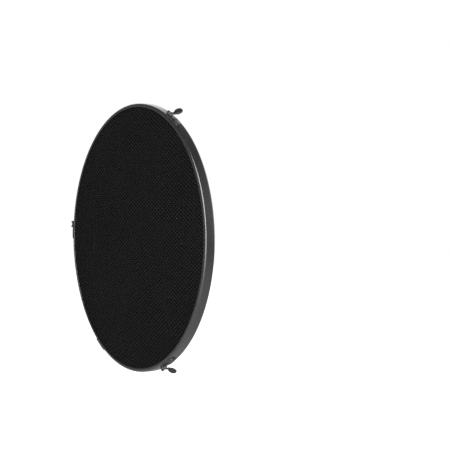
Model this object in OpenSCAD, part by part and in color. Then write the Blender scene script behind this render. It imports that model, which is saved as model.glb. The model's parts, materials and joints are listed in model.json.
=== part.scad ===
// Honeycomb grid for a 400 mm class beauty dish, held on by three sprung rim clips.
// Millimetres. The disc's axis is Y, the front faces -Y, +Z is up.
// The origin is on the disc's axis, in the plane of the rear edge that seats on the dish.

/* [Rim channel] */
// Outside diameter of the rim
rim_od = 400; // [380:1:430]
// Front-to-back depth of the rim
rim_depth = 16.4; // [15:0.1:20]
// Sheet thickness of the rim
rim_wall = 1.2; // [1:0.1:1.5]
// Radial width of the lip at the front
front_lip = 5.4; // [4:0.1:8]
// Radial width of the lip at the rear
rear_lip = 5; // [4:0.5:6]
// Gap between the two ends of the rolled channel
joint_gap = 0.6; // [0.3:0.1:1]

/* [Honeycomb] */
// Distance between the flats of one cell
cell_pitch = 17; // [16:0.5:24]
// Thickness of one ribbon, measured up the page
ribbon_t = 0.6; // [0.5:0.1:1]
// Free space between the core and the channel in front of and behind it
core_gap = 0.2; // [0.1:0.1:0.5]

/* [Clips] */
// Angle of the first clip's centre above the +X axis
first_clip = 57.4; // [45:0.1:75]
// Distance along the rim from a clip's hinge to its rivet
rivet_spacing = 19.6; // [18:0.1:24]
// Distance of the rivets behind the front edge of the rim
rivet_back = 6.5; // [6:0.1:8]
// Thickness of the bracket plates
plate_t = 1.5; // [1.2:0.1:1.5]
// Height of the hinge pin above the rim
hinge_rise = 5.5; // [5.4:0.1:8]
// Distance of the hinge pin behind the front edge of the rim
hinge_back = 2.6; // [2.6:0.1:3]
// Diameter of the hinge pin
pin_d = 2; // [1.8:0.1:2.2]
// Width over the two ears of a bracket
ear_span = 9.4; // [9:0.1:11]
// Thickness of one ear
ear_t = 1.4; // [1.2:0.1:1.5]

/* [Lever grips] */
// Length of the dipped grip
grip_len = 13; // [13:0.5:20]
// Width of the dipped grip
grip_w = 12; // [10:0.5:13]
// Thickness of the dipped grip
grip_t = 3.2; // [3:0.1:4]
// Angle by which the grip flares outward
grip_flare = 32; // [30:1:50]

/* [Hidden] */
$fn = 32;

// Clip places: index into the hands below, one step of 120 degrees each
UPPER = 0;
SIDE = 1;
LOWER = 2;
// The side of the hinge that the rivet is on, seen from the front
hands = [-1, 1, 1];

rim_r = rim_od / 2;
inner_r = rim_r - rim_wall;
lip_edge_r = rim_wall / 2;

// Core: clear of the rivets' blind ends
core_r = inner_r - 2.5;
core_t = rim_depth - 2 * rim_wall - 2 * core_gap;
glue_line = 0.05;
cell_r = cell_pitch / sqrt(3);
column_step = 1.5 * cell_r;
cell_rows = ceil(core_r / cell_pitch);

// Blind rivets
rivet_y = -rim_depth + rivet_back;
rivet_head_r = 3.8;
rivet_head_h = 1.3;
rivet_shank_r = 1.6;
rivet_hole_r = 1.65;
rivet_bulb_r = 2.3;
rivet_bulb_h = 2.2;
rivet_socket_r = 1.1;
rivet_socket_depth = 0.9;

// Joint plate
joint_angle = first_clip + 180;
joint_plate_t = 1.2;
joint_plate_len = 30;
joint_plate_w = 11;
joint_rivet_arc = 9;
skin_gap = 0.05;

// Hinge
arc_deg = 180 / (PI * rim_r);
hinge_r = rim_r + hinge_rise;
hinge_y = -rim_depth + hinge_back;
ear_r = hinge_back;
pin_r = pin_d / 2;
pin_play = 0.05;
pin_head_r = 1.7;
pin_head_t = 0.6;
ear_inner = ear_span / 2 - ear_t;

// Bracket plate outline, along the rim
strip_front = -rim_depth + 0.4;
strip_rear = strip_front + 11.6;
strip_y = (strip_front + strip_rear) / 2;
foot_rear = hinge_y + 3;
slot_start = ear_span / 2 + 1.3;
slot_len = 8.6;
slot_w = 3.4;
slot_front = strip_front + 1.5;
tongue_y = hinge_y + 1.4;
tongue_t = 1.4;
tongue_w = 6;
tongue_play = 0.1;

// Lever
lever_w = 2 * (ear_inner - 0.3);
cheek_t = 1;
cheek_r = 2.3;
neck_t = 1.2;
neck_front = hinge_y + 2.1;
neck_rear = hinge_y + 7.5;
neck_low = hinge_r - 0.1;
detent_r = 1.1;
detent_drop = 0.5;
detent_y = neck_rear - 1.6;
blade_len = 10;
blade_w = 6;
blade_t = 1;
blade_play = 0.03;
neck_relief = 0.15;

// Torsion spring
wire_r = 0.28;
wire_sides = 6;
coil_r = 1.55;
coil_half = 1.2;
coil_step = 22.5;
coil_steps = 52;
leg_floor_gap = 0.15;
leg_reach = 5.2;

// Turns a shape drawn on the +X side of the rim to an angle around it
module at_rim(angle) {
  rotate([0, -angle, 0]) children();
}

// Angle of a clip's hinge and of its rivet
function clip_centre(i) = first_clip + 120 * i;
function half_clip() = rivet_spacing / 2 * arc_deg;
function hinge_angle(i) = clip_centre(i) - hands[i] * half_clip();
function rivet_angle(i) = clip_centre(i) + hands[i] * half_clip();

// Places a clip part drawn with its hinge at angle 0 and its rivet towards +Z
module at_hinge(i) {
  at_rim(hinge_angle(i))
    mirror([0, 0, hands[i] < 0 ? 1 : 0])
      children();
}

// A solid of revolution about the disc's axis; the profile's height runs forward
module about_axis() {
  rotate([90, 0, 0])
    rotate_extrude($fn = 180)
      children();
}

// Extrudes an outline drawn as [along Y, along Z] outward from a radius
module outward(from_r, height) {
  translate([from_r, 0, 0])
    rotate([90, 0, 90])
      linear_extrude(height)
        children();
}

// Cylinder that points outward from a radius
module radial_cylinder(r, from_r, to_r, y) {
  translate([from_r, y, 0])
    rotate([0, 90, 0])
      cylinder(r = r, h = to_r - from_r);
}

// Thin cylindrical skin that lies on the rim
module rim_skin(thickness) {
  about_axis()
    translate([rim_r + skin_gap, 0])
      square([thickness, rim_depth + 1]);
}

// Section of the channel: rounded corners and rounded lip edges
module channel_section() {
  translate([inner_r, rim_wall])
    square([rim_wall, rim_depth - 2 * rim_wall]);
  channel_lip(rear_lip, 0);
  channel_lip(front_lip, rim_depth - rim_wall);
  translate([inner_r, rim_wall])
    circle(r = rim_wall);
  translate([inner_r, rim_depth - rim_wall])
    circle(r = rim_wall);
}

module channel_lip(width, height) {
  translate([rim_r - width + lip_edge_r, height])
    square([width - lip_edge_r - rim_wall, rim_wall]);
  translate([rim_r - width + lip_edge_r, height + lip_edge_r])
    circle(r = lip_edge_r);
}

module rivet_hole() {
  radial_cylinder(rivet_hole_r, inner_r - 1, rim_r + 4, rivet_y);
}

// Half section of a blind rivet; its height is measured outward from the rim's surface
module rivet_section(seat) {
  dome_r = (rivet_head_r * rivet_head_r + rivet_head_h * rivet_head_h) / (2 * rivet_head_h);
  blind_end = -rim_wall - 0.1;
  difference() {
    union() {
      intersection() {
        translate([0, seat + rivet_head_h - dome_r])
          circle(r = dome_r);
        translate([0, seat])
          square([rivet_head_r, rivet_head_h + 1]);
      }
      translate([0, blind_end - 0.5])
        square([rivet_shank_r, seat - blind_end + 0.7]);
      translate([0, blind_end - rivet_bulb_h])
        square([rivet_bulb_r, rivet_bulb_h]);
    }
    translate([-1, seat + rivet_head_h - rivet_socket_depth])
      square([1 + rivet_socket_r, rivet_head_h]);
  }
}

// Domed blind rivet with its head on a plate of the given thickness
module blind_rivet(plate) {
  translate([rim_r, rivet_y, 0])
    rotate([0, 90, 0])
      rotate_extrude()
        rivet_section(skin_gap + plate);
}

module rim_channel() {
  color([0.11, 0.11, 0.12])
    difference() {
      about_axis() channel_section();
      at_rim(joint_angle)
        translate([rim_r, -rim_depth / 2, 0])
          cube([20, rim_depth + 2, joint_gap], center = true);
      for (side = [-1, 1]) at_rim(joint_angle + side * joint_rivet_arc * arc_deg) rivet_hole();
      for (i = [UPPER, SIDE, LOWER]) at_rim(rivet_angle(i)) rivet_hole();
      for (i = [UPPER, SIDE, LOWER]) at_hinge(i) bracket_tongue(tongue_play);
    }
}

// Height of a ribbon's lower edge in one column: each ribbon steps up or down by
// half a cell between neighbouring columns and is bonded to the next where they meet
function ribbon_low(k, up, column) =
  let (stepped = column % 2 != 0)
  k * cell_pitch + (up > 0
    ? (stepped ? cell_pitch / 2 - ribbon_t - glue_line / 2 : glue_line / 2)
    : (stepped ? glue_line / 2 - cell_pitch / 2 : -ribbon_t - glue_line / 2));

// One corrugated ribbon, trimmed to the core's outline
module ribbon(k, up) {
  middle = k * cell_pitch + up * cell_pitch / 4;
  near = max(0, abs(middle) - cell_pitch / 4);
  half_len = sqrt(max(0, core_r * core_r - near * near));
  last = ceil(half_len / column_step);
  edge = [for (c = [-last:last], side = [-1, 1])
    [c * column_step + side * cell_r / 2, ribbon_low(k, up, c)]];
  back = [for (j = [len(edge) - 1:-1:0]) edge[j] + [0, ribbon_t]];
  if (near < core_r - 3)
    intersection() {
      circle(r = core_r);
      polygon(concat(edge, back));
    }
}

module honeycomb_core() {
  color([0.05, 0.05, 0.055])
    translate([0, -rim_wall - core_gap, 0])
      rotate([90, 0, 0])
        linear_extrude(core_t)
          for (k = [-cell_rows:cell_rows], up = [-1, 1])
            ribbon(k, up, $fn = 180);
}

module joint_plate() {
  color([0.11, 0.11, 0.12])
    at_rim(joint_angle)
      difference() {
        intersection() {
          rim_skin(joint_plate_t);
          outward(rim_r - 5, 10)
            translate([rivet_y - joint_plate_w / 2, -joint_plate_len / 2])
              square([joint_plate_w, joint_plate_len]);
        }
        for (side = [-1, 1]) at_rim(side * joint_rivet_arc * arc_deg) rivet_hole();
      }
}

module joint_rivets() {
  color([0.16, 0.16, 0.17])
    for (side = [-1, 1])
      at_rim(joint_angle + side * joint_rivet_arc * arc_deg)
        blind_rivet(joint_plate_t);
}

// Foot under the ears, strip to the rivet, and the slot between them
module bracket_outline() {
  difference() {
    union() {
      translate([-rim_depth, -ear_span / 2])
        square([foot_rear + rim_depth, ear_span]);
      translate([strip_front, ear_span / 2 - 0.5])
        square([strip_rear - strip_front, rivet_spacing - ear_span / 2 + 0.5]);
      translate([strip_y, rivet_spacing])
        circle(d = strip_rear - strip_front);
    }
    translate([slot_front, slot_start])
      square([slot_w, slot_len]);
  }
}

// Flat tongue that stops the bracket from turning about its one rivet
module bracket_tongue(play) {
  translate([inner_r - play, tongue_y - tongue_t / 2 - play, -tongue_w / 2 - play])
    cube([rim_wall + 0.5 + 2 * play, tongue_t + 2 * play, tongue_w + 2 * play]);
}

module bracket_ears() {
  for (side = [-1, 1])
    translate([0, 0, side * (ear_span - ear_t) / 2 - ear_t / 2])
      linear_extrude(ear_t) {
        translate([rim_r + 0.4, hinge_y - ear_r])
          square([hinge_rise - 0.4, 2 * ear_r]);
        translate([hinge_r, hinge_y])
          circle(r = ear_r);
      }
}

module clip_bracket(i) {
  color([0.13, 0.13, 0.14])
    at_hinge(i)
      difference() {
        union() {
          intersection() {
            rim_skin(plate_t);
            outward(rim_r - 5, 10) bracket_outline();
          }
          bracket_ears();
          bracket_tongue(0);
        }
        translate([hinge_r, hinge_y, -ear_span])
          cylinder(r = pin_r + pin_play, h = 2 * ear_span);
        at_rim(rivet_spacing * arc_deg) rivet_hole();
      }
}

module bracket_rivet(i) {
  color([0.16, 0.16, 0.17])
    at_rim(rivet_angle(i))
      blind_rivet(plate_t);
}

// Pin through both ears, with a head at each end
module hinge_pin(i) {
  head_z = ear_span / 2 + 0.02;
  color([0.35, 0.35, 0.37])
    at_hinge(i)
      translate([hinge_r, hinge_y, 0]) {
        cylinder(r = pin_r, h = 2 * head_z, center = true);
        for (side = [-1, 1])
          translate([0, 0, side * (head_z + pin_head_t / 2)])
            cylinder(r = pin_head_r, h = pin_head_t, center = true);
      }
}

// Side view of the neck: a flat strip with a rounded detent under it
module neck_section() {
  translate([neck_low, neck_front])
    square([neck_t, neck_rear - neck_front]);
  intersection() {
    translate([neck_low + detent_r - detent_drop, detent_y])
      circle(r = detent_r);
    translate([neck_low - detent_drop, detent_y - detent_r])
      square([neck_t + detent_drop, 2 * detent_r]);
  }
}

// Steel blade inside the grip, drawn from the end of the neck
module lever_blade(play) {
  translate([neck_low + neck_t / 2, neck_rear, 0])
    rotate([0, 0, 90 - grip_flare])
      translate([-play, -blade_t / 2 - play, -blade_w / 2 - play])
        cube([blade_len + 2 * play, blade_t + 2 * play, blade_w + 2 * play]);
}

module clip_lever(i) {
  color([0.2, 0.2, 0.21])
    at_hinge(i)
      difference() {
        union() {
          for (side = [-1, 1])
            translate([0, 0, side * (lever_w - cheek_t) / 2 - cheek_t / 2])
              linear_extrude(cheek_t) {
                translate([hinge_r, hinge_y])
                  circle(r = cheek_r);
                translate([neck_low - 0.6, hinge_y])
                  square([neck_t + 0.6, neck_front - hinge_y + 1]);
              }
          translate([0, 0, -lever_w / 2])
            linear_extrude(lever_w)
              neck_section();
          translate([neck_low + neck_t / 2, neck_rear, -lever_w / 2])
            cylinder(r = neck_t / 2, h = lever_w);
          lever_blade(0);
        }
        translate([hinge_r, hinge_y, -ear_span])
          cylinder(r = pin_r + pin_play, h = 2 * ear_span);
      }
}

// Half section of the grip's rounded rim, revolved at its two ends
module grip_half_section() {
  edge = grip_t / 2;
  translate([0, -edge])
    square([grip_w / 2 - edge, grip_t]);
  intersection() {
    translate([grip_w / 2 - edge, 0])
      circle(r = edge);
    translate([0, -edge])
      square([grip_w, grip_t]);
  }
}

// Oval pad drawn along +X with its near end at the origin
module grip_pad() {
  straight = grip_len - grip_w;
  for (end = [0, straight])
    translate([grip_w / 2 + end, 0, 0])
      rotate([90, 0, 0])
        rotate_extrude()
          grip_half_section();
  for (side = [0, 1])
    mirror([0, 0, side])
      translate([grip_w / 2, 0, 0])
        rotate([90, 0, 90])
          linear_extrude(straight)
            rotate([0, 0, 90])
              grip_half_section();
}

module lever_grip(i) {
  color([0.07, 0.07, 0.075])
    at_hinge(i)
      difference() {
        translate([neck_low + neck_t / 2, neck_rear, 0])
          rotate([0, 0, 90 - grip_flare])
            grip_pad();
        lever_blade(blade_play);
        translate([neck_low + neck_t / 2, neck_rear, -lever_w])
          cylinder(r = neck_t / 2 + neck_relief, h = 2 * lever_w);
      }
}

// Centre line of the spring: floor leg, coil around the pin, leg along the neck
function spring_path() = concat(
  [[rim_r + skin_gap + plate_t + wire_r + leg_floor_gap, hinge_y - coil_r, -coil_half]],
  [for (k = [0:coil_steps])
    let (turn = -90 + k * coil_step)
    [hinge_r + coil_r * cos(turn), hinge_y + coil_r * sin(turn), coil_half * (2 * k / coil_steps - 1)]],
  [[hinge_r + coil_r, hinge_y + leg_reach, coil_half]]
);

function unit(v) = v / norm(v);

// Direction of a path at one of its points
function heading(path, k) = unit(path[min(k + 1, len(path) - 1)] - path[max(k - 1, 0)]);

// Points of one ring of the wire
function wire_ring(centre, along) =
  let (across = unit(cross([0, 0, 1], along)), up = cross(along, across))
  [for (s = [0:wire_sides - 1])
    let (turn = 360 * s / wire_sides)
    centre + wire_r * (cos(turn) * across + sin(turn) * up)];

module wire_sweep(path) {
  rings = len(path);
  corners = [for (k = [0:rings - 1]) each wire_ring(path[k], heading(path, k))];
  sides = [for (k = [0:rings - 2], s = [0:wire_sides - 1])
    let (next = (s + 1) % wire_sides, low = k * wire_sides, high = low + wire_sides)
    each [[low + s, high + next, low + next], [low + s, high + s, high + next]]];
  first_cap = [for (s = [0:wire_sides - 1]) s];
  last_cap = [for (s = [wire_sides - 1:-1:0]) (rings - 1) * wire_sides + s];
  polyhedron(points = corners, faces = concat(sides, [first_cap, last_cap]));
}

module lever_spring(i) {
  color([0.45, 0.45, 0.47])
    at_hinge(i)
      wire_sweep(spring_path());
}

rim_channel();
honeycomb_core();
joint_plate();
joint_rivets();
clip_bracket(UPPER);  // clip_bracket_upper
clip_bracket(SIDE);  // clip_bracket_side
clip_bracket(LOWER);  // clip_bracket_lower
bracket_rivet(UPPER);  // bracket_rivet_upper
bracket_rivet(SIDE);  // bracket_rivet_side
bracket_rivet(LOWER);  // bracket_rivet_lower
hinge_pin(UPPER);  // hinge_pin_upper
hinge_pin(SIDE);  // hinge_pin_side
hinge_pin(LOWER);  // hinge_pin_lower
clip_lever(UPPER);  // clip_lever_upper
clip_lever(SIDE);  // clip_lever_side
clip_lever(LOWER);  // clip_lever_lower
lever_grip(UPPER);  // lever_grip_upper
lever_grip(SIDE);  // lever_grip_side
lever_grip(LOWER);  // lever_grip_lower
lever_spring(UPPER);  // lever_spring_upper
lever_spring(SIDE);  // lever_spring_side
lever_spring(LOWER);  // lever_spring_lower
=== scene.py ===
"""A honeycomb light grid: rolled rim, foil core and three sprung rim clips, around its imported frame.

Lengths in the settings are in millimetres; everything that is built is in metres.
"""

import json
import math
import random
from contextlib import contextmanager

import bmesh
import bpy
import numpy as np
from mathutils import Matrix, Vector


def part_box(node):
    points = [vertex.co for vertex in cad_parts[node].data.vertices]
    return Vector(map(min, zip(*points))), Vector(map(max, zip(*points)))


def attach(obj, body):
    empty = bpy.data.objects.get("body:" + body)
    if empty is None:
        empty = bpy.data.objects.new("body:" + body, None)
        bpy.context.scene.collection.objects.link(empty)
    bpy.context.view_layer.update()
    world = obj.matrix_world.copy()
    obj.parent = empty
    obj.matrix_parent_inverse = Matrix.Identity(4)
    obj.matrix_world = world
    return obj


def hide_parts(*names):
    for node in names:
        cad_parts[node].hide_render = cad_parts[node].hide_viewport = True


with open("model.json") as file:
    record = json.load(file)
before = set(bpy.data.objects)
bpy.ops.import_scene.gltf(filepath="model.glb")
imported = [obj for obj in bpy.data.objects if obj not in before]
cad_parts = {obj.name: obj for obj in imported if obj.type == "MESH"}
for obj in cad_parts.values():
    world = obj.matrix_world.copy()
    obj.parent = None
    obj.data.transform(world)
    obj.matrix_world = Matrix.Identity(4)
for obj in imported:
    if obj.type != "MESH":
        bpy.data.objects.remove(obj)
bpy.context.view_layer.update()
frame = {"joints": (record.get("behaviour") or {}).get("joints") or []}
MM = 0.001

# ---------------------------------------------------------------- settings

# Camera, about the centre of the front face; angles from the disc's axis
CAMERA_AZIMUTH = 60.64
CAMERA_ELEVATION = 1.0
CAMERA_DISTANCE = 1.7926
CAMERA_LENS = 95.69
CAMERA_SENSOR = 36
AIM_RIGHT = 0.13785
AIM_UP = 0.01883

# Floor, in metres: full brightness for the camera, and FLOOR_GLOW as a light
FLOOR_Z = -0.62
FLOOR_HALF = 12.0
FLOOR_GREY = 0.65
FLOOR_ROUGHNESS = 0.9
FLOOR_GLOW = 0.05

# Sky as a light: its brightness in front and behind, what is added at the rear, and the share left overhead
SKY_FRONT = 0.25
SKY_BACK = 0.5
SKY_REAR = 1.5
SKY_TOP = 0.25
# Where each change of the sky starts and ends, as the Y or the Z part of the direction
BACK_FADE = (-0.35, 0.3)
REAR_FADE = (0.6, 0.9)
TOP_FADE = (0.45, 0.8)

# Soft lights: azimuth and elevation as for the camera, distance, width and height in metres, and watts
KEY_DIRECTION = (48, 20)
KEY_DISTANCE = 2.2
KEY_SIZE = (1.5, 2.9)
KEY_POWER = 130
REAR_DIRECTION = (-127, 35)
REAR_DISTANCE = 1.8
REAR_SIZE = (1.4, 1.0)
REAR_POWER = 4.5

# Mesh work: what counts as doubled, as flat, as a sliver and as a sharp edge
DOUBLED = 0.02
FLAT_ANGLE = 0.5
SLIVER = 0.004
TINY = 1e-9
CUT_TOLERANCE = 1e-7
BEVEL_SEGMENTS = 3
BEVEL_ANGLE = 32
SHARP_ANGLE = 40

# Surfaces: the stretch of values that noise mostly takes, its roughness, and the strength of the grain
NOISE_SPAN = (0.3, 0.7)
NOISE_ROUGHNESS = 0.55
CLOUD_DETAIL = 4.0
GRAIN_DETAIL = 2.0
GRAIN_STRENGTH = 0.35
BLUE_TINT = 1.05
# Painted highlight on the foil's cut edges: their paler grey, and how squarely a face must point front or
# back to take it
CUT_EDGE_HIGHLIGHT_GREY = 0.022
CUT_EDGE_HIGHLIGHT_FACING = (0.6, 0.9)

# Rim channel
WALL = 1.2
FRONT_LIP = 5.4
REAR_LIP = 5.0
CORNER_R = 3.0
BEND_R = 1.8
RIM_STEPS = 540
LIP_STEPS = 8
BEND_STEPS = 4
RIM_SHARP_ANGLE = 50
JOINT_GAP = 0.6
JOINT_HALF_W = 5.5
JOINT_HALF_L = 15
JOINT_CORNER_R = 2.0
JOINT_BEVEL = 0.22
JOINT_RIVET_ARC = 9.0
SKIN_GAP = 0.05

# Honeycomb foil: the real cell size, slightly over-expanded sideways
CELL_UP = 5.8
CELL_ACROSS = 9.46
FOIL = 0.22
CORE_R = 198.5
CELL_JITTER = 0.09
JITTER_SEED = 7
TRIM_STEPS = 20
SHORTEST_FOIL = 0.5
# Rows tilt and fan out a little, as slopes: overall, growing across, growing up, and both
ROW_SLOPE = -0.0265
ROW_CURVE = 0.077
ROW_FAN = 0.029
ROW_FAN_CURVE = -0.05
# Slow waves in the foil, up and sideways, each as size, turns across, turns up and phase
WAVES_UP = ((0.5, 4.3, 2.1, 0.8), (0.3, 9.1, -3.7, 0))
WAVES_SIDE = ((1.2, 1.1, 2.3, 0), (0.5, -2.6, 5.2, 1.4))

# Clip brackets: the plate with its ears, the strip to the rivet, its window, and the tongue in the rim
PLATE_T = 1.5
EAR_SPAN = 9.4
EAR_T = 1.4
EAR_R = 2.6
FOLD_R = 1.1
FILLET_R = 0.3
STRIP_FRONT = 0.4
STRIP_REAR = 12.0
STRIP_CORNER_R = 1.6
WINDOW_Y = (1.9, 5.3)
WINDOW_ALONG = (1.3, 9.9)
WINDOW_CORNER_R = 0.9
TONGUE_Y = (0.7, 2.1)
TONGUE_HALF = 3
TONGUE_CORNER_R = 0.4
BRACKET_BEVEL = 0.2

# Rivets and hinge pins
RIVET_HEAD_R = 3.8
RIVET_HEAD_H = 1.3
RIVET_SHANK_R = 1.6
RIVET_SOCKET_R = 1.15
RIVET_SOCKET_DEPTH = 0.95
RIVET_EDGE_IN = 0.25
RIVET_EDGE_H = 0.5
RIVET_DOME_STEPS = 8
RIVET_STEPS = 48
# Rivet outlines as (radius, height): broken mandrel over the socket's floor, foot of the head from its
# radius over the seat, and blind end inside the wall
RIVET_MANDREL = ((0, 0.3), (0.6, 0.26), (0.85, 0.1), (0.9, 0))
RIVET_FOOT = ((-0.08, 0.41), (0, 0.27), (0, 0.1), (-0.07, 0))
RIVET_BLIND_END = ((RIVET_SHANK_R, -0.1), (2.2, -0.25), (2.3, -0.7), (2.15, -1.9), (1.5, -2.25), (0, -2.3))
PIN_R = 1.0
# Pin ends as (radius, height beyond the ears): the one that is riveted over, and the head
PIN_PEENED_END = ((0, 0.62), (1.0, 0.6), (1.4, 0.5), (1.62, 0.3), (1.62, 0), (PIN_R, 0))
PIN_HEAD = ((PIN_R, 0), (1.7, 0), (1.7, 0.22), (1.5, 0.45), (1.0, 0.58), (0, 0.62))
PIN_CLEARANCE = 0.02
PIN_STEPS = 40

# Springs: the wire, the coil around the pin, and the leg along the neck
WIRE_R = 0.28
WIRE_SIDES = 12
LEG_OVERSIZE = 0.01
COIL_R = 1.55
COIL_HALF = 1.2
COIL_STEPS = 156
LEG_STEPS = 6
SPRING_REACH = 5.2
SPRING_TURN = 1170
SPRING_FLOOR_GAP = 0.15
SPRING_SHARP_ANGLE = 60

# Levers and their dipped grips
NECK_T = 1.2
NECK_LEN = 7.5
DETENT_R = 1.1
DETENT_BACK = 1.6
# Dent behind the detent as (distance along the neck, depth)
DETENT_DENT = ((-1.2, 0), (-0.6, 0.2), (0, 0.3), (0.6, 0.2), (1.1, 0))
CHEEK_R = 2.3
CHEEK_T = 1
CHEEK_REAR = 3.1
LEVER_PLAY = 0.3
BORE_PLAY = 0.05
LEVER_BEVEL = 0.14
BLADE_LEN = 10.0
# Corners of the blade's side view as (distance along it, distance out from its middle)
BLADE_CORNERS = ((0.5, 0.55), (BLADE_LEN, 0.5), (BLADE_LEN, -0.5), (0.4, -0.55))
GRIP_LEN = 13.0
GRIP_W = 12.0
GRIP_T = 3.2
GRIP_FLARE = 32.0
GRIP_SQUARE = 0.88
GRIP_TAPER = 0.12
GRIP_DISH = 0.5
GRIP_CROWN = 0.12
GRIP_STEPS = 72
GRIP_FACE = (0.12, 0.3, 0.45, 0.6, 0.74, 0.87, 0.95)
GRIP_BACK = (0.8, 0.5, 0.2)
GRIP_EDGE_STEPS = 16

CLIPS = ("upper", "side", "lower")

# ---------------------------------------------------------------- the frame's own measures

rim_low, rim_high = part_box("rim_channel")
RIM_R = (rim_high.z - rim_low.z) / 2 / MM
RIM_FRONT = rim_low.y / MM
RIM_REAR = rim_high.y / MM
core_low, core_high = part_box("honeycomb_core")
CORE_FRONT = core_low.y / MM
CORE_BACK = core_high.y / MM


def centre_of(node):
    low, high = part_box(node)
    return (low + high) / 2


def rim_angle(point):
    return math.atan2(point[2], point[0])


hinge_joints = {j["child"].removeprefix("lever_"): j for j in frame["joints"]}
HINGE_R = math.hypot(hinge_joints["upper"]["pos_m"][0], hinge_joints["upper"]["pos_m"][2]) / MM
HINGE_Y = hinge_joints["upper"]["pos_m"][1] / MM
RIVET_Y = centre_of("bracket_rivet_upper").y / MM
JOINT_ANGLE = rim_angle(centre_of("joint_plate"))


def turn_between(start, end):
    """Signed angle from start to end, within half a turn."""
    return (end - start + math.pi) % (2 * math.pi) - math.pi


RIVET_ARC = abs(
    turn_between(rim_angle(hinge_joints["upper"]["pos_m"]), rim_angle(centre_of("bracket_rivet_upper")))
) * RIM_R

# ---------------------------------------------------------------- camera


def direction(azimuth, elevation):
    """Unit vector away from the grid, in degrees around from the front and up."""
    az, el = math.radians(azimuth), math.radians(elevation)
    return Vector((math.sin(az) * math.cos(el), -math.cos(az) * math.cos(el), math.sin(el)))


def point_camera():
    away = direction(CAMERA_AZIMUTH, CAMERA_ELEVATION)
    az = math.radians(CAMERA_AZIMUTH)
    right = Vector((math.cos(az), math.sin(az), 0))
    up = away.cross(right)
    data = bpy.data.cameras.new("camera")
    data.lens = CAMERA_LENS
    data.sensor_width = CAMERA_SENSOR
    camera = bpy.data.objects.new("camera", data)
    face = Vector((0, RIM_FRONT * MM, 0))
    camera.location = face + away * CAMERA_DISTANCE
    aim = face + right * AIM_RIGHT + up * AIM_UP
    camera.rotation_euler = (aim - camera.location).to_track_quat("-Z", "Y").to_euler()
    bpy.context.scene.collection.objects.link(camera)
    bpy.context.scene.camera = camera


point_camera()

# ---------------------------------------------------------------- mesh tools


def new_object(name, verts, faces, smooth=True):
    """A mesh object from points in millimetres."""
    mesh = bpy.data.meshes.new(name)
    mesh.from_pydata((np.asarray(verts, float) * MM).tolist(), [], faces)
    mesh.polygons.foreach_set("use_smooth", [smooth] * len(mesh.polygons))
    mesh.update()
    piece = bpy.data.objects.new(name, mesh)
    bpy.context.scene.collection.objects.link(piece)
    return piece


@contextmanager
def mesh_edit(piece):
    """The piece's mesh as a bmesh, which is written back at the end."""
    bm = bmesh.new()
    bm.from_mesh(piece.data)
    yield bm
    bm.to_mesh(piece.data)
    bm.free()


def tidy_normals(piece):
    with mesh_edit(piece) as bm:
        bmesh.ops.recalc_face_normals(bm, faces=bm.faces)


def apply_modifiers(piece):
    graph = bpy.context.evaluated_depsgraph_get()
    mesh = bpy.data.meshes.new_from_object(piece.evaluated_get(graph))
    old = piece.data
    piece.modifiers.clear()
    piece.data = mesh
    bpy.data.meshes.remove(old)
    mesh.name = piece.name


def merge_flats(piece):
    """Joins the doubled points and split flats that booleans leave, so that a bevel keeps its width."""
    with mesh_edit(piece) as bm:
        bmesh.ops.remove_doubles(bm, verts=bm.verts, dist=DOUBLED * MM)
        limit = math.radians(FLAT_ANGLE)
        bmesh.ops.dissolve_limit(bm, angle_limit=limit, verts=bm.verts, edges=bm.edges)


def drop_slivers(piece):
    """Removes the faces without area that a bevel or a cut can leave."""
    with mesh_edit(piece) as bm:
        bmesh.ops.dissolve_degenerate(bm, dist=SLIVER * MM, edges=bm.edges)


def soften(piece, width):
    """Rounds every sharp edge and keeps the flats flat."""
    merge_flats(piece)
    bevel = piece.modifiers.new("bevel", "BEVEL")
    bevel.width = width * MM
    bevel.segments = BEVEL_SEGMENTS
    bevel.limit_method = "ANGLE"
    bevel.angle_limit = math.radians(BEVEL_ANGLE)
    apply_modifiers(piece)
    drop_slivers(piece)


def combine(base, other, operation):
    """Boolean of two closed solids; the second one is used up."""
    boolean = base.modifiers.new("boolean", "BOOLEAN")
    boolean.operation = operation
    boolean.solver = "EXACT"
    boolean.object = other
    apply_modifiers(base)
    bpy.data.objects.remove(other)


def prism(name, outline, low, high, axes=(0, 1, 2)):
    """Extrudes a 2D outline; axes says which axis its first, its second and the depth run along."""
    count = len(outline)
    verts = []
    for depth in (low, high):
        for a, b in outline:
            point = [0, 0, 0]
            point[axes[0]], point[axes[1]], point[axes[2]] = a, b, depth
            verts.append(point)
    faces = [list(range(count)), list(range(2 * count - 1, count - 1, -1))]
    faces += [[i, i + count, (i + 1) % count + count, (i + 1) % count] for i in range(count)]
    piece = new_object(name, verts, faces, smooth=False)
    tidy_normals(piece)
    return piece


def arc(centre, radius, start, end, steps):
    """Points on an arc, angles in degrees."""
    return [
        (
            centre[0] + radius * math.cos(math.radians(start + (end - start) * k / steps)),
            centre[1] + radius * math.sin(math.radians(start + (end - start) * k / steps)),
        )
        for k in range(steps + 1)
    ]


def rounded_box(low, high, radius, steps=5):
    """Outline of a rectangle with round corners."""
    (x0, y0), (x1, y1) = low, high
    corners = [
        ((x1 - radius, y1 - radius), 0),
        ((x0 + radius, y1 - radius), 90),
        ((x0 + radius, y0 + radius), 180),
        ((x1 - radius, y0 + radius), 270),
    ]
    return [p for centre, start in corners for p in arc(centre, radius, start, start + 90, steps)]


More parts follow.
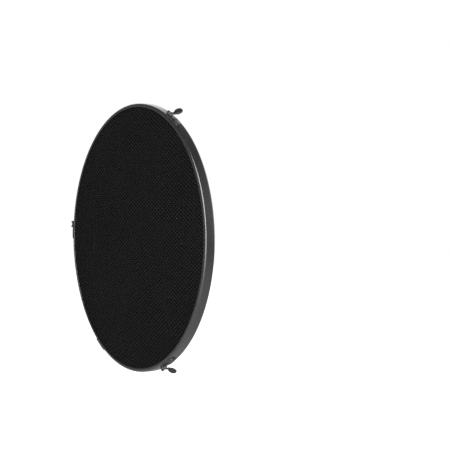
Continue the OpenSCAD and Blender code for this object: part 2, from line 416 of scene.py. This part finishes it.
def lathe(name, profile, steps, place):
    """Revolves (radius, height) points; place turns (radius, angle, height) into a point."""
    verts, rings = [], []
    for radius, height in profile:
        if radius == 0:
            rings.append([len(verts)] * steps)
            verts.append(place(0, 0, height))
            continue
        rings.append(list(range(len(verts), len(verts) + steps)))
        verts += [place(radius, 2 * math.pi * k / steps, height) for k in range(steps)]
    faces = []
    for low, high in zip(rings, rings[1:]):
        for k in range(steps):
            n = (k + 1) % steps
            face = [low[k], low[n], high[n], high[k]]
            faces.append(list(dict.fromkeys(face)))
    piece = new_object(name, verts, faces)
    tidy_normals(piece)
    return piece


def sweep(name, path, radius, sides):
    """A round wire along a path."""
    path = np.asarray(path, float)
    heading = np.gradient(path, axis=0)
    heading /= np.linalg.norm(heading, axis=1)[:, None]
    verts = []
    for point, along in zip(path, heading):
        across = np.cross((0, 0, 1), along)
        across /= np.linalg.norm(across)
        up = np.cross(along, across)
        for k in range(sides):
            turn = 2 * math.pi * k / sides
            verts.append(point + radius * (math.cos(turn) * across + math.sin(turn) * up))
    faces = []
    for ring in range(len(path) - 1):
        for k in range(sides):
            a, b = ring * sides + k, ring * sides + (k + 1) % sides
            faces.append([a, b, b + sides, a + sides])
    faces += [list(range(sides)), list(range(len(verts) - 1, len(verts) - sides - 1, -1))]
    piece = new_object(name, verts, faces)
    tidy_normals(piece)
    return piece


def shade_by_angle(piece, angle=SHARP_ANGLE):
    """Shades smoothly, except across edges that are sharper than the angle."""
    piece.data.polygons.foreach_set("use_smooth", [True] * len(piece.data.polygons))
    with mesh_edit(piece) as bm:
        for edge in bm.edges:
            edge.smooth = not edge.is_manifold or edge.calc_face_angle(0) < math.radians(angle)


# ---------------------------------------------------------------- materials


def shader(name):
    material = bpy.data.materials.new(name)
    material.use_nodes = True
    nodes, links = material.node_tree.nodes, material.node_tree.links
    return material, nodes, links, nodes["Principled BSDF"]


def noise_node(nodes, links, scale, detail):
    where = nodes.new("ShaderNodeTexCoord")
    noise = nodes.new("ShaderNodeTexNoise")
    noise.inputs["Scale"].default_value = scale
    noise.inputs["Detail"].default_value = detail
    noise.inputs["Roughness"].default_value = NOISE_ROUGHNESS
    links.new(where.outputs["Object"], noise.inputs["Vector"])
    return noise.outputs["Fac"]


def ramp_node(nodes, links, source, dark, light):
    """Colour from dark to light over the stretch of values that noise takes."""
    ramp = nodes.new("ShaderNodeValToRGB")
    for element, position, colour in zip(ramp.color_ramp.elements, NOISE_SPAN, (dark, light)):
        element.position = position
        element.color = (*colour, 1)
    links.new(source, ramp.inputs["Fac"])
    return ramp.outputs["Color"]


def range_node(nodes, links, source, limits, levels):
    """Maps the values between the limits to those between the levels."""
    spread = nodes.new("ShaderNodeMapRange")
    spread.inputs["From Min"].default_value, spread.inputs["From Max"].default_value = limits
    spread.inputs["To Min"].default_value, spread.inputs["To Max"].default_value = levels
    links.new(source, spread.inputs["Value"])
    return spread.outputs["Result"]


def math_node(nodes, links, operation, *sources):
    node = nodes.new("ShaderNodeMath")
    node.operation = operation
    for socket, source in zip(node.inputs, sources):
        links.new(source, socket)
    return node.outputs["Value"]


def painted(
    name, dark, light, rough, grain_scale, grain_depth, cloud_scale=25.0, metallic=0.0, specular=0.5
):
    """Paint or lacquer: cloudy colour, uneven gloss and a fine orange peel."""
    material, nodes, links, bsdf = shader(name)
    bsdf.inputs["Metallic"].default_value = metallic
    bsdf.inputs["Specular IOR Level"].default_value = specular
    cloud = noise_node(nodes, links, cloud_scale, CLOUD_DETAIL)
    links.new(ramp_node(nodes, links, cloud, dark, light), bsdf.inputs["Base Color"])
    grain = noise_node(nodes, links, grain_scale, GRAIN_DETAIL)
    links.new(range_node(nodes, links, grain, NOISE_SPAN, rough), bsdf.inputs["Roughness"])
    bump = nodes.new("ShaderNodeBump")
    bump.inputs["Strength"].default_value = GRAIN_STRENGTH
    bump.inputs["Distance"].default_value = grain_depth * MM
    links.new(grain, bump.inputs["Height"])
    links.new(bump.outputs["Normal"], bsdf.inputs["Normal"])
    return material


def grey(value):
    return (value, value, value * BLUE_TINT)


def paint_cut_edge_highlight(material, colour):
    """Painted highlight: colours the foil's cut edges, which face the front and the back, paler than its
    walls, standing in for the light those edges catch.
    """
    nodes, links = material.node_tree.nodes, material.node_tree.links
    base = nodes["Principled BSDF"].inputs["Base Color"]
    geometry = nodes.new("ShaderNodeNewGeometry")
    parts = nodes.new("ShaderNodeSeparateXYZ")
    links.new(geometry.outputs["Normal"], parts.inputs["Vector"])
    size = math_node(nodes, links, "ABSOLUTE", parts.outputs["Y"])
    mix = nodes.new("ShaderNodeMix")
    mix.data_type = "RGBA"
    links.new(range_node(nodes, links, size, CUT_EDGE_HIGHLIGHT_FACING, (0, 1)), mix.inputs["Factor"])
    links.new(base.links[0].from_socket, mix.inputs["A"])
    mix.inputs["B"].default_value = (*colour, 1)
    links.new(mix.outputs["Result"], base)


# Each row: name, dark and light colour, roughness, grain scale and depth, cloud scale, metal, specular
MATERIALS = {
    "rim_paint": painted(
        "rim_powder_coat", grey(0.009), grey(0.012), (0.2, 0.28), 1500, 0.05, specular=0.85
    ),
    "core_black": painted(
        "core_black_foil", grey(0.003), grey(0.0045), (0.5, 0.65), 700, 0.03, 9.0, specular=0.13
    ),
    "clip_paint": painted("clip_black_steel", grey(0.016), grey(0.026), (0.3, 0.42), 2400, 0.03, 90.0),
    "rivet_black": painted(
        "rivet_black_alloy", grey(0.03), grey(0.06), (0.24, 0.36), 2600, 0.02, 160.0, 0.4
    ),
    "pin_steel": painted("pin_plain_steel", grey(0.12), grey(0.18), (0.34, 0.5), 3000, 0.02, 300.0, 1.0),
    "grip_vinyl": painted(
        "grip_dipped_vinyl", grey(0.008), grey(0.013), (0.45, 0.6), 900, 0.06, 120.0, specular=0.3
    ),
    "spring_steel": painted("spring_wire", grey(0.14), grey(0.2), (0.34, 0.5), 4000, 0.01, 400.0, 1.0),
}
# Painted highlight: the foil's cut edges that face front and back get a paler grey, standing in for the
# light they catch
paint_cut_edge_highlight(MATERIALS["core_black"], grey(CUT_EDGE_HIGHLIGHT_GREY))


def finish_piece(piece, body, slot, *nodes):
    """Material, body, material slot and the CAD nodes that the piece stands for."""
    piece.data.materials.clear()
    piece.data.materials.append(MATERIALS[slot])
    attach(piece, body)
    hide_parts(*nodes)
    return piece


# ---------------------------------------------------------------- rim channel


def on_rim(radius, angle, height):
    """Point at a radius and an angle around the disc's axis, height along Y."""
    return (radius * math.cos(angle), height, radius * math.sin(angle))


def channel_profile():
    """Closed section of the rolled channel as (radius, y), with bent corners and rounded lip edges."""
    inner = RIM_R - WALL
    edge = WALL / 2
    outline = arc((RIM_R - CORNER_R, RIM_FRONT + CORNER_R), CORNER_R, 0, -90, LIP_STEPS)
    outline += arc((RIM_R - FRONT_LIP + edge, RIM_FRONT + edge), edge, -90, -270, LIP_STEPS)
    outline += arc((inner - BEND_R, RIM_FRONT + WALL + BEND_R), BEND_R, -90, 0, BEND_STEPS)
    outline += arc((inner - BEND_R, RIM_REAR - WALL - BEND_R), BEND_R, 0, 90, BEND_STEPS)
    outline += arc((RIM_R - REAR_LIP + edge, RIM_REAR - edge), edge, 270, 90, LIP_STEPS)
    outline += arc((RIM_R - CORNER_R, RIM_REAR - CORNER_R), CORNER_R, 90, 0, LIP_STEPS)
    return outline


def build_rim():
    outline = channel_profile()
    count = len(outline)
    half_gap = JOINT_GAP / 2 / RIM_R
    start = JOINT_ANGLE + half_gap
    span = 2 * math.pi - 2 * half_gap
    verts = []
    for k in range(RIM_STEPS + 1):
        angle = start + span * k / RIM_STEPS
        verts += [on_rim(r, angle, y) for r, y in outline]
    faces = [
        [k * count + i, k * count + (i + 1) % count, (k + 1) * count + (i + 1) % count, (k + 1) * count + i]
        for k in range(RIM_STEPS)
        for i in range(count)
    ]
    faces += [list(range(count)), list(range(RIM_STEPS * count, (RIM_STEPS + 1) * count))]
    rim = new_object("rim_shell", verts, faces)
    tidy_normals(rim)
    shade_by_angle(rim, RIM_SHARP_ANGLE)
    finish_piece(rim, "grid", "rim_paint", "rim_channel")


build_rim()

# ---------------------------------------------------------------- honeycomb core


def wave(waves, a, b):
    return sum(size * math.sin(across * a + up * b + phase) for size, across, up, phase in waves)


def core_wander(x, z):
    """How far expansion has pulled the foil off its even grid: tilted, fanned rows and slow waves."""
    a, b = x / CORE_R, z / CORE_R
    up = (ROW_SLOPE + ROW_FAN * b) * x + (ROW_CURVE + ROW_FAN_CURVE * b) * a * x / 2
    up += wave(WAVES_UP, a, b)
    return wave(WAVES_SIDE, a, b), up


def ribbon_path(row, up, jitter):
    """Centre line of one corrugated foil ribbon: a flat and a slope for every column."""
    flat_half = CELL_ACROSS / 6
    last = int(CORE_R / (CELL_ACROSS / 2)) + 2
    points = []
    for column in range(-last, last + 1):
        stepped = column % 2 != 0
        height = row * CELL_UP + (up * CELL_UP / 2 if stepped else 0)
        lean = -up if stepped else up
        nudge = jitter[(column, round(2 * height / CELL_UP))]
        for side in (-1, 1):
            x = column * CELL_ACROSS / 2 + side * flat_half + nudge[0]
            z = height + lean * FOIL / 2 + nudge[1]
            shift = core_wander(x, z)
            points.append((x + shift[0], z + shift[1]))
    return points


def trim(points, radius):
    """The stretch or stretches of a path inside a circle."""
    runs, run = [], []
    for here, there in zip(points, points[1:]):
        inside = [math.hypot(*p) <= radius for p in (here, there)]
        if all(inside):
            run = run or [here]
            run.append(there)
            continue
        if not any(inside):
            continue
        keep, drop = (here, there) if inside[0] else (there, here)
        for _ in range(TRIM_STEPS):
            middle = ((keep[0] + drop[0]) / 2, (keep[1] + drop[1]) / 2)
            if math.hypot(*middle) <= radius:
                keep = middle
            else:
                drop = middle
        if inside[0]:
            run = run or [here]
            run.append(keep)
            runs.append(run)
            run = []
        else:
            run = [keep, there]
    if run:
        runs.append(run)
    return [r for r in runs if len(r) > 1 and math.dist(r[0], r[-1]) > SHORTEST_FOIL]


def foil_strip(points, verts, faces):
    """Adds a closed thin strip that stands on a path, from the core's front to its back."""
    path = np.asarray(points)
    heading = np.gradient(path, axis=0)
    heading /= np.maximum(np.linalg.norm(heading, axis=1), TINY)[:, None]
    across = np.stack([-heading[:, 1], heading[:, 0]], 1) * FOIL / 2
    base = len(verts)
    for point, offset in zip(path, across):
        for sign, y in ((1, CORE_FRONT), (-1, CORE_FRONT), (-1, CORE_BACK), (1, CORE_BACK)):
            x, z = point + sign * offset
            verts.append((x, y, z))
    for k in range(len(path) - 1):
        a, b = base + 4 * k, base + 4 * (k + 1)
        faces += [[a + i, a + (i + 1) % 4, b + (i + 1) % 4, b + i] for i in range(4)]
    end = base + 4 * (len(path) - 1)
    faces += [[base, base + 3, base + 2, base + 1], [end, end + 1, end + 2, end + 3]]


def bond_jitter(last_row):
    """A small offset for each bond between two ribbons, the same for both, by column and height."""
    chance = random.Random(JITTER_SEED)
    last_column = int(CORE_R / (CELL_ACROSS / 2)) + 2
    return {
        (column, level): (chance.gauss(0, CELL_JITTER), chance.gauss(0, CELL_JITTER))
        for column in range(-last_column, last_column + 1)
        for level in range(-2 * last_row - 1, 2 * last_row + 2)
    }


def build_core():
    verts, faces = [], []
    last_row = int(CORE_R / CELL_UP) + 4
    jitter = bond_jitter(last_row)
    for row in range(-last_row, last_row + 1):
        for up in (-1, 1):
            for run in trim(ribbon_path(row, up, jitter), CORE_R):
                foil_strip(run, verts, faces)
    core = new_object("core_foil", verts, faces, smooth=False)
    tidy_normals(core)
    finish_piece(core, "grid", "core_black", "honeycomb_core")


build_core()

# ---------------------------------------------------------------- rivets and joint plate


def rivet_profile(seat):
    """Blind rivet from the broken mandrel in its socket to its blind end; height is above the rim."""
    edge_r = RIVET_HEAD_R - RIVET_EDGE_IN
    rise = RIVET_HEAD_H - RIVET_EDGE_H
    dome_r = (edge_r * edge_r + rise * rise) / (2 * rise)
    middle = seat + RIVET_HEAD_H - dome_r
    socket_r, floor = RIVET_SOCKET_R, seat + RIVET_HEAD_H - RIVET_SOCKET_DEPTH
    profile = [(radius, floor + height) for radius, height in RIVET_MANDREL]
    profile += [(socket_r - 0.05, floor), (socket_r, floor + 0.08), (socket_r, seat + RIVET_HEAD_H - 0.25)]
    first, last = math.asin((socket_r + 0.12) / dome_r), math.asin(edge_r / dome_r)
    for k in range(RIVET_DOME_STEPS + 1):
        turn = first + (last - first) * k / RIVET_DOME_STEPS
        profile.append((dome_r * math.sin(turn), middle + dome_r * math.cos(turn)))
    profile += [(RIVET_HEAD_R + radius, seat + height) for radius, height in RIVET_FOOT]
    profile.append((RIVET_SHANK_R, seat))
    profile += [(radius, height - WALL) for radius, height in RIVET_BLIND_END]
    return profile


def rivet_at(name, angle, seat):
    def place(radius, turn, height):
        along = radius * math.sin(turn)
        x, z = RIM_R + height, radius * math.cos(turn)
        return (
            x * math.cos(angle) - z * math.sin(angle),
            RIVET_Y + along,
            x * math.sin(angle) + z * math.cos(angle),
        )

    return lathe(name, rivet_profile(seat), RIVET_STEPS, place)


def cut_across(piece, positions):
    """Adds edge loops across z so that a flat sheet can be bent."""
    normal = Vector((0, 0, 1))
    with mesh_edit(piece) as bm:
        for position in positions:
            geometry = bm.verts[:] + bm.edges[:] + bm.faces[:]
            point = normal * position * MM
            bmesh.ops.bisect_plane(
                bm, geom=geometry, plane_co=point, plane_no=normal, dist=CUT_TOLERANCE
            )
    drop_slivers(piece)


def bend_on_rim(piece, flat_half):
    """Wraps a sheet drawn with x as radius and z along the rim; it stays flat within flat_half of z = 0."""
    for vertex in piece.data.vertices:
        x, y, z = vertex.co
        beyond = abs(z) - flat_half * MM
        if beyond <= 0:
            continue
        turn = math.copysign(beyond / (RIM_R * MM), z)
        z0 = math.copysign(flat_half * MM, z)
        vertex.co = (x * math.cos(turn) - z0 * math.sin(turn), y, x * math.sin(turn) + z0 * math.cos(turn))


def turn_to(piece, angle, hand=1):
    """Moves a piece drawn at angle 0 to its place around the rim; hand -1 mirrors it first."""
    c, s = math.cos(angle), math.sin(angle)
    matrix = Matrix(((c, 0, -s * hand, 0), (0, 1, 0, 0), (s, 0, c * hand, 0), (0, 0, 0, 1)))
    piece.data.transform(matrix)
    if hand < 0:
        piece.data.flip_normals()
    piece.data.update()


def merge(base, other):
    with mesh_edit(base) as bm:
        bm.from_mesh(other.data)
    bpy.data.objects.remove(other)


def build_joint():
    low, high = (RIVET_Y - JOINT_HALF_W, -JOINT_HALF_L), (RIVET_Y + JOINT_HALF_W, JOINT_HALF_L)
    outline = rounded_box(low, high, JOINT_CORNER_R)
    plate = prism("joint_cover", outline, RIM_R + SKIN_GAP, RIM_R + SKIN_GAP + WALL, axes=(1, 2, 0))
    soften(plate, JOINT_BEVEL)
    cut_across(plate, range(1 - JOINT_HALF_L, JOINT_HALF_L))
    bend_on_rim(plate, 0)
    turn_to(plate, JOINT_ANGLE)
    shade_by_angle(plate)
    finish_piece(plate, "grid", "rim_paint", "joint_plate")
    turn = JOINT_RIVET_ARC / RIM_R
    rivets = rivet_at("joint_rivet_heads", JOINT_ANGLE - turn, SKIN_GAP + WALL)
    merge(rivets, rivet_at("joint_rivet_second", JOINT_ANGLE + turn, SKIN_GAP + WALL))
    shade_by_angle(rivets)
    finish_piece(rivets, "grid", "rivet_black", "joint_rivets")


build_joint()

# ---------------------------------------------------------------- clips


def strip_outline():
    """Strip from beside the ears to the round end at the rivet, as (y, z)."""
    front, rear = RIM_FRONT + STRIP_FRONT, RIM_FRONT + STRIP_REAR
    half = EAR_SPAN / 2
    outline = arc(((rear + front) / 2, RIVET_ARC), (rear - front) / 2, 180, 0, 24)
    outline += arc((rear - STRIP_CORNER_R, half + 1.4), STRIP_CORNER_R, 0, -90, 6)
    outline += arc((HINGE_Y + 3.9, half - 1.1), 0.9, 90, 180, 4)
    outline += [(HINGE_Y + 3.0, 2.0), (front, 2.0)]
    return outline


def fold_outline():
    """The plate folded up into two ears, as (x, z)."""
    low, high, top = RIM_R + SKIN_GAP, RIM_R + SKIN_GAP + PLATE_T, HINGE_R + EAR_R + 1
    half = EAR_SPAN / 2
    inner = half - EAR_T
    corner, fillet = low + FOLD_R, high + FILLET_R
    outline = arc((corner, half - FOLD_R), FOLD_R, 180, 90, 6) + [(top, half), (top, inner)]
    outline += arc((fillet, inner - FILLET_R), FILLET_R, 90, 180, 3)
    outline += arc((fillet, FILLET_R - inner), FILLET_R, 180, 270, 3)
    outline += [(top, -inner), (top, -half)] + arc((corner, FOLD_R - half), FOLD_R, 270, 180, 6)
    return outline


def ear_outline():
    """Side view that trims the folded sheet: wide foot, round tops, as (x, y)."""
    tops = arc((HINGE_R, HINGE_Y), EAR_R, -90, 90, 18)
    rear = HINGE_Y + EAR_R
    foot = [(RIM_R + 2.6, rear), (RIM_R + 2.0, rear + 0.4), (RIM_R - 1, rear + 0.4), (RIM_R - 1, RIM_FRONT)]
    return tops + foot


def build_bracket(name, angle, hand):
    half = EAR_SPAN / 2
    low, high = RIM_R + SKIN_GAP, RIM_R + SKIN_GAP + PLATE_T
    bracket = prism(f"bracket_body_{name}", fold_outline(), RIM_FRONT - 1, HINGE_Y + 6, axes=(0, 2, 1))
    trimming = prism("trim", ear_outline(), -half - 1, half + 1)
    combine(bracket, trimming, "INTERSECT")
    tongue_low, tongue_high = [HINGE_Y + y for y in TONGUE_Y]
    tongue_outline = rounded_box((tongue_low, -TONGUE_HALF), (tongue_high, TONGUE_HALF), TONGUE_CORNER_R)
    tongue = prism("tongue", tongue_outline, RIM_R - WALL, high, axes=(1, 2, 0))
    combine(bracket, prism("strip", strip_outline(), low, high, axes=(1, 2, 0)), "UNION")
    combine(bracket, tongue, "UNION")
    window_low, window_high = [
        (RIM_FRONT + y, half + along) for y, along in zip(WINDOW_Y, WINDOW_ALONG)
    ]
    window = rounded_box(window_low, window_high, WINDOW_CORNER_R)
    combine(bracket, prism("window", window, low - 1, high + 1, axes=(1, 2, 0)), "DIFFERENCE")
    soften(bracket, BRACKET_BEVEL)
    cut_across(bracket, [half + 0.4 + k for k in range(int(RIVET_ARC))])
    bend_on_rim(bracket, half)
    turn_to(bracket, angle, hand)
    shade_by_angle(bracket)
    finish_piece(bracket, "grid", "clip_paint", f"clip_bracket_{name}")


def build_pin(name, angle, hand):
    face = EAR_SPAN / 2 + PIN_CLEARANCE
    profile = [(radius, -face - height) for radius, height in PIN_PEENED_END]
    profile += [(radius, face + height) for radius, height in PIN_HEAD]

    def place(radius, turn, height):
        return (HINGE_R + radius * math.cos(turn), HINGE_Y + radius * math.sin(turn), height)

    pin = lathe(f"pivot_pin_{name}", profile, PIN_STEPS, place)
    turn_to(pin, angle, hand)
    shade_by_angle(pin)
    finish_piece(pin, "grid", "pin_steel", f"hinge_pin_{name}")


def build_spring(name, angle, hand):
    """Floor leg and coil around the pin stay with the rim; the leg along the neck swings with the lever."""
    floor = RIM_R + SKIN_GAP + PLATE_T + WIRE_R + SPRING_FLOOR_GAP
    rise = HINGE_R - floor
    path = [(floor + rise * k / LEG_STEPS, HINGE_Y - COIL_R, -COIL_HALF) for k in range(LEG_STEPS)]
    for k in range(COIL_STEPS + 1):
        turn = math.radians(SPRING_TURN * k / COIL_STEPS - 90)
        height = COIL_HALF * (2 * k / COIL_STEPS - 1)
        path.append((HINGE_R + COIL_R * math.cos(turn), HINGE_Y + COIL_R * math.sin(turn), height))
    leg = path[-2:]
    for k in range(1, LEG_STEPS + 1):
        leg.append((HINGE_R + COIL_R, HINGE_Y + SPRING_REACH * k / LEG_STEPS, COIL_HALF))
    parts = (("wire", "grid", path, WIRE_R), ("leg", f"lever_{name}", leg, WIRE_R + LEG_OVERSIZE))
    for label, body, points, radius in parts:
        spring = sweep(f"spring_{label}_{name}", points, radius, WIRE_SIDES)
        turn_to(spring, angle, hand)
        shade_by_angle(spring, SPRING_SHARP_ANGLE)
        finish_piece(spring, body, "spring_steel", f"lever_spring_{name}")


NECK_LOW = HINGE_R - 0.1
NECK_REAR = HINGE_Y + NECK_LEN
NECK_MIDDLE = NECK_LOW + NECK_T / 2
DETENT_Y = NECK_REAR - DETENT_BACK
LEVER_HALF = EAR_SPAN / 2 - EAR_T - LEVER_PLAY


def blade_frame(along, out):
    """Point (x, y) on the flared blade: along it from the end of the neck, and out from its middle."""
    flare = math.radians(GRIP_FLARE)
    dx, dy = math.sin(flare), math.cos(flare)
    return NECK_MIDDLE + along * dx + out * dy, NECK_REAR + along * dy - out * dx


def lever_side():
    """Side view of the strip: neck, pressed detent, bend and blade, as (x, y)."""
    front, top = HINGE_Y + 2.1, NECK_LOW + NECK_T
    outline = [(top, front)] + [(top - depth, DETENT_Y + along) for along, depth in DETENT_DENT]
    outline += [blade_frame(along, out) for along, out in BLADE_CORNERS]
    outline += arc((NECK_MIDDLE, NECK_REAR), NECK_T / 2, 140, 180, 4)
    outline += arc((NECK_MIDDLE, DETENT_Y), DETENT_R, 123, 237, 10)
    outline.append((NECK_LOW, front))
    return outline


def cheek_outline():
    """Side cheek around the pin, running into the neck, as (x, y)."""
    rear, low = HINGE_Y + CHEEK_REAR, NECK_LOW - 0.6
    outline = arc((HINGE_R, HINGE_Y), CHEEK_R, 107.7, 421.4, 34)
    return outline + [(NECK_LOW + NECK_T, rear), (NECK_LOW, rear), (low, rear - 0.6)]


def build_lever(name, angle, hand):
    lever = prism(f"lever_arm_{name}", lever_side(), -LEVER_HALF, LEVER_HALF)
    for side in (-1, 1):
        cheek = prism("cheek", cheek_outline(), side * LEVER_HALF, side * (LEVER_HALF - CHEEK_T))
        combine(lever, cheek, "UNION")
    bore = arc((HINGE_R, HINGE_Y), PIN_R + BORE_PLAY, 0, 360, PIN_STEPS)[:-1]
    combine(lever, prism("bore", bore, -EAR_SPAN, EAR_SPAN), "DIFFERENCE")
    soften(lever, LEVER_BEVEL)
    turn_to(lever, angle, hand)
    shade_by_angle(lever)
    finish_piece(lever, f"lever_{name}", "clip_paint", f"clip_lever_{name}")


def grip_rings():
    """Skin of the dipped grip from the dished outer face round the rim to the inner face: (reach, out)."""
    edge, half = GRIP_T / 2, GRIP_W / 2
    flat = 1 - edge / half
    rings = [(reach * flat, edge - GRIP_DISH * (1 - reach**2) ** 2) for reach in GRIP_FACE]
    for k in range(GRIP_EDGE_STEPS + 1):
        turn = math.pi * k / GRIP_EDGE_STEPS
        rings.append((1 - edge * (1 - math.sin(turn)) / half, edge * math.cos(turn)))
    rings += [(reach * flat, -edge - GRIP_CROWN * (1 - reach)) for reach in GRIP_BACK]
    return rings


def build_grip(name, angle, hand):
    steps = GRIP_STEPS
    rings = grip_rings()
    verts = []
    for reach, out in rings:
        for k in range(steps):
            turn = 2 * math.pi * k / steps
            c, s = math.cos(turn), math.sin(turn)
            along = math.copysign(abs(c) ** GRIP_SQUARE, c) * reach
            side = math.copysign(abs(s) ** GRIP_SQUARE, s) * reach * GRIP_W / 2
            side *= 1 - GRIP_TAPER * min(along, 0) ** 2
            x, y = blade_frame(GRIP_LEN / 2 * (1 + along), out)
            verts.append((x, y, side))
    poles = [len(verts), len(verts) + 1]
    for out in (GRIP_T / 2 - GRIP_DISH, -GRIP_T / 2 - GRIP_CROWN):
        x, y = blade_frame(GRIP_LEN / 2, out)
        verts.append((x, y, 0))
    faces = []
    for ring in range(len(rings) - 1):
        a, b = ring * steps, (ring + 1) * steps
        faces += [[a + k, a + (k + 1) % steps, b + (k + 1) % steps, b + k] for k in range(steps)]
    last = (len(rings) - 1) * steps
    faces += [[poles[0], (k + 1) % steps, k] for k in range(steps)]
    faces += [[poles[1], last + k, last + (k + 1) % steps] for k in range(steps)]
    grip = new_object(f"grip_skin_{name}", verts, faces)
    tidy_normals(grip)
    turn_to(grip, angle, hand)
    finish_piece(grip, f"lever_{name}", "grip_vinyl", f"lever_grip_{name}")


def build_clip(name):
    angle = rim_angle(hinge_joints[name]["pos_m"])
    rivet_angle = rim_angle(centre_of(f"bracket_rivet_{name}"))
    hand = 1 if turn_between(angle, rivet_angle) > 0 else -1
    build_bracket(name, angle, hand)
    rivet = rivet_at(f"rivet_head_{name}", rivet_angle, SKIN_GAP + PLATE_T)
    shade_by_angle(rivet)
    finish_piece(rivet, "grid", "rivet_black", f"bracket_rivet_{name}")
    build_pin(name, angle, hand)
    build_spring(name, angle, hand)
    build_lever(name, angle, hand)
    build_grip(name, angle, hand)


for clip in CLIPS:
    build_clip(clip)

# ---------------------------------------------------------------- stage and light


def build_stage():
    """A wide pale floor well below the grid, which hangs as it does on its dish."""
    spread = FLOOR_HALF / MM
    corners = [(-spread, -spread), (spread, -spread), (spread, spread), (-spread, spread)]
    verts = [(x, y, FLOOR_Z / MM) for x, y in corners]
    floor = new_object("stage_floor", verts, [[0, 1, 2, 3]], smooth=False)
    material, nodes, links, bsdf = shader("stage_white")
    bsdf.inputs["Base Color"].default_value = (FLOOR_GREY, FLOOR_GREY, FLOOR_GREY, 1)
    bsdf.inputs["Roughness"].default_value = FLOOR_ROUGHNESS
    bsdf.inputs["Emission Color"].default_value = (1, 1, 1, 1)
    path = nodes.new("ShaderNodeLightPath")
    glow = range_node(nodes, links, path.outputs["Is Camera Ray"], (0, 1), (FLOOR_GLOW, 1))
    links.new(glow, bsdf.inputs["Emission Strength"])
    floor.data.materials.append(material)


def soft_light(name, angles, distance, size, power):
    """A rectangular soft light that points at the grid from a direction given as for the camera."""
    away = direction(*angles)
    data = bpy.data.lights.new(name, "AREA")
    data.shape = "RECTANGLE"
    data.size, data.size_y = size
    data.energy = power
    light = bpy.data.objects.new(name, data)
    light.location = away * distance
    light.rotation_euler = (-away).to_track_quat("-Z", "Y").to_euler()
    bpy.context.scene.collection.objects.link(light)


def build_world():
    """White backdrop; as a light it grows from the front to the rear, and is dim overhead."""
    world = bpy.data.worlds.new("sky")
    bpy.context.scene.world = world
    world.use_nodes = True
    nodes, links = world.node_tree.nodes, world.node_tree.links
    where = nodes.new("ShaderNodeTexCoord")
    parts = nodes.new("ShaderNodeSeparateXYZ")
    links.new(where.outputs["Generated"], parts.inputs["Vector"])
    fade = range_node(nodes, links, parts.outputs["Y"], BACK_FADE, (SKY_FRONT, SKY_BACK))
    rear = range_node(nodes, links, parts.outputs["Y"], REAR_FADE, (0, SKY_REAR))
    level = math_node(nodes, links, "ADD", fade, rear)
    overhead = range_node(nodes, links, parts.outputs["Z"], TOP_FADE, (1, SKY_TOP))
    both = math_node(nodes, links, "MULTIPLY", level, overhead)
    path = nodes.new("ShaderNodeLightPath")
    seen = math_node(nodes, links, "MAXIMUM", both, path.outputs["Is Camera Ray"])
    background = nodes["Background"]
    background.inputs["Color"].default_value = (1, 1, 1, 1)
    links.new(seen, background.inputs["Strength"])


build_stage()
build_world()
soft_light("key_softbox", KEY_DIRECTION, KEY_DISTANCE, KEY_SIZE, KEY_POWER)
soft_light("rear_softbox", REAR_DIRECTION, REAR_DISTANCE, REAR_SIZE, REAR_POWER)
bpy.context.scene.view_settings.view_transform = "Standard"
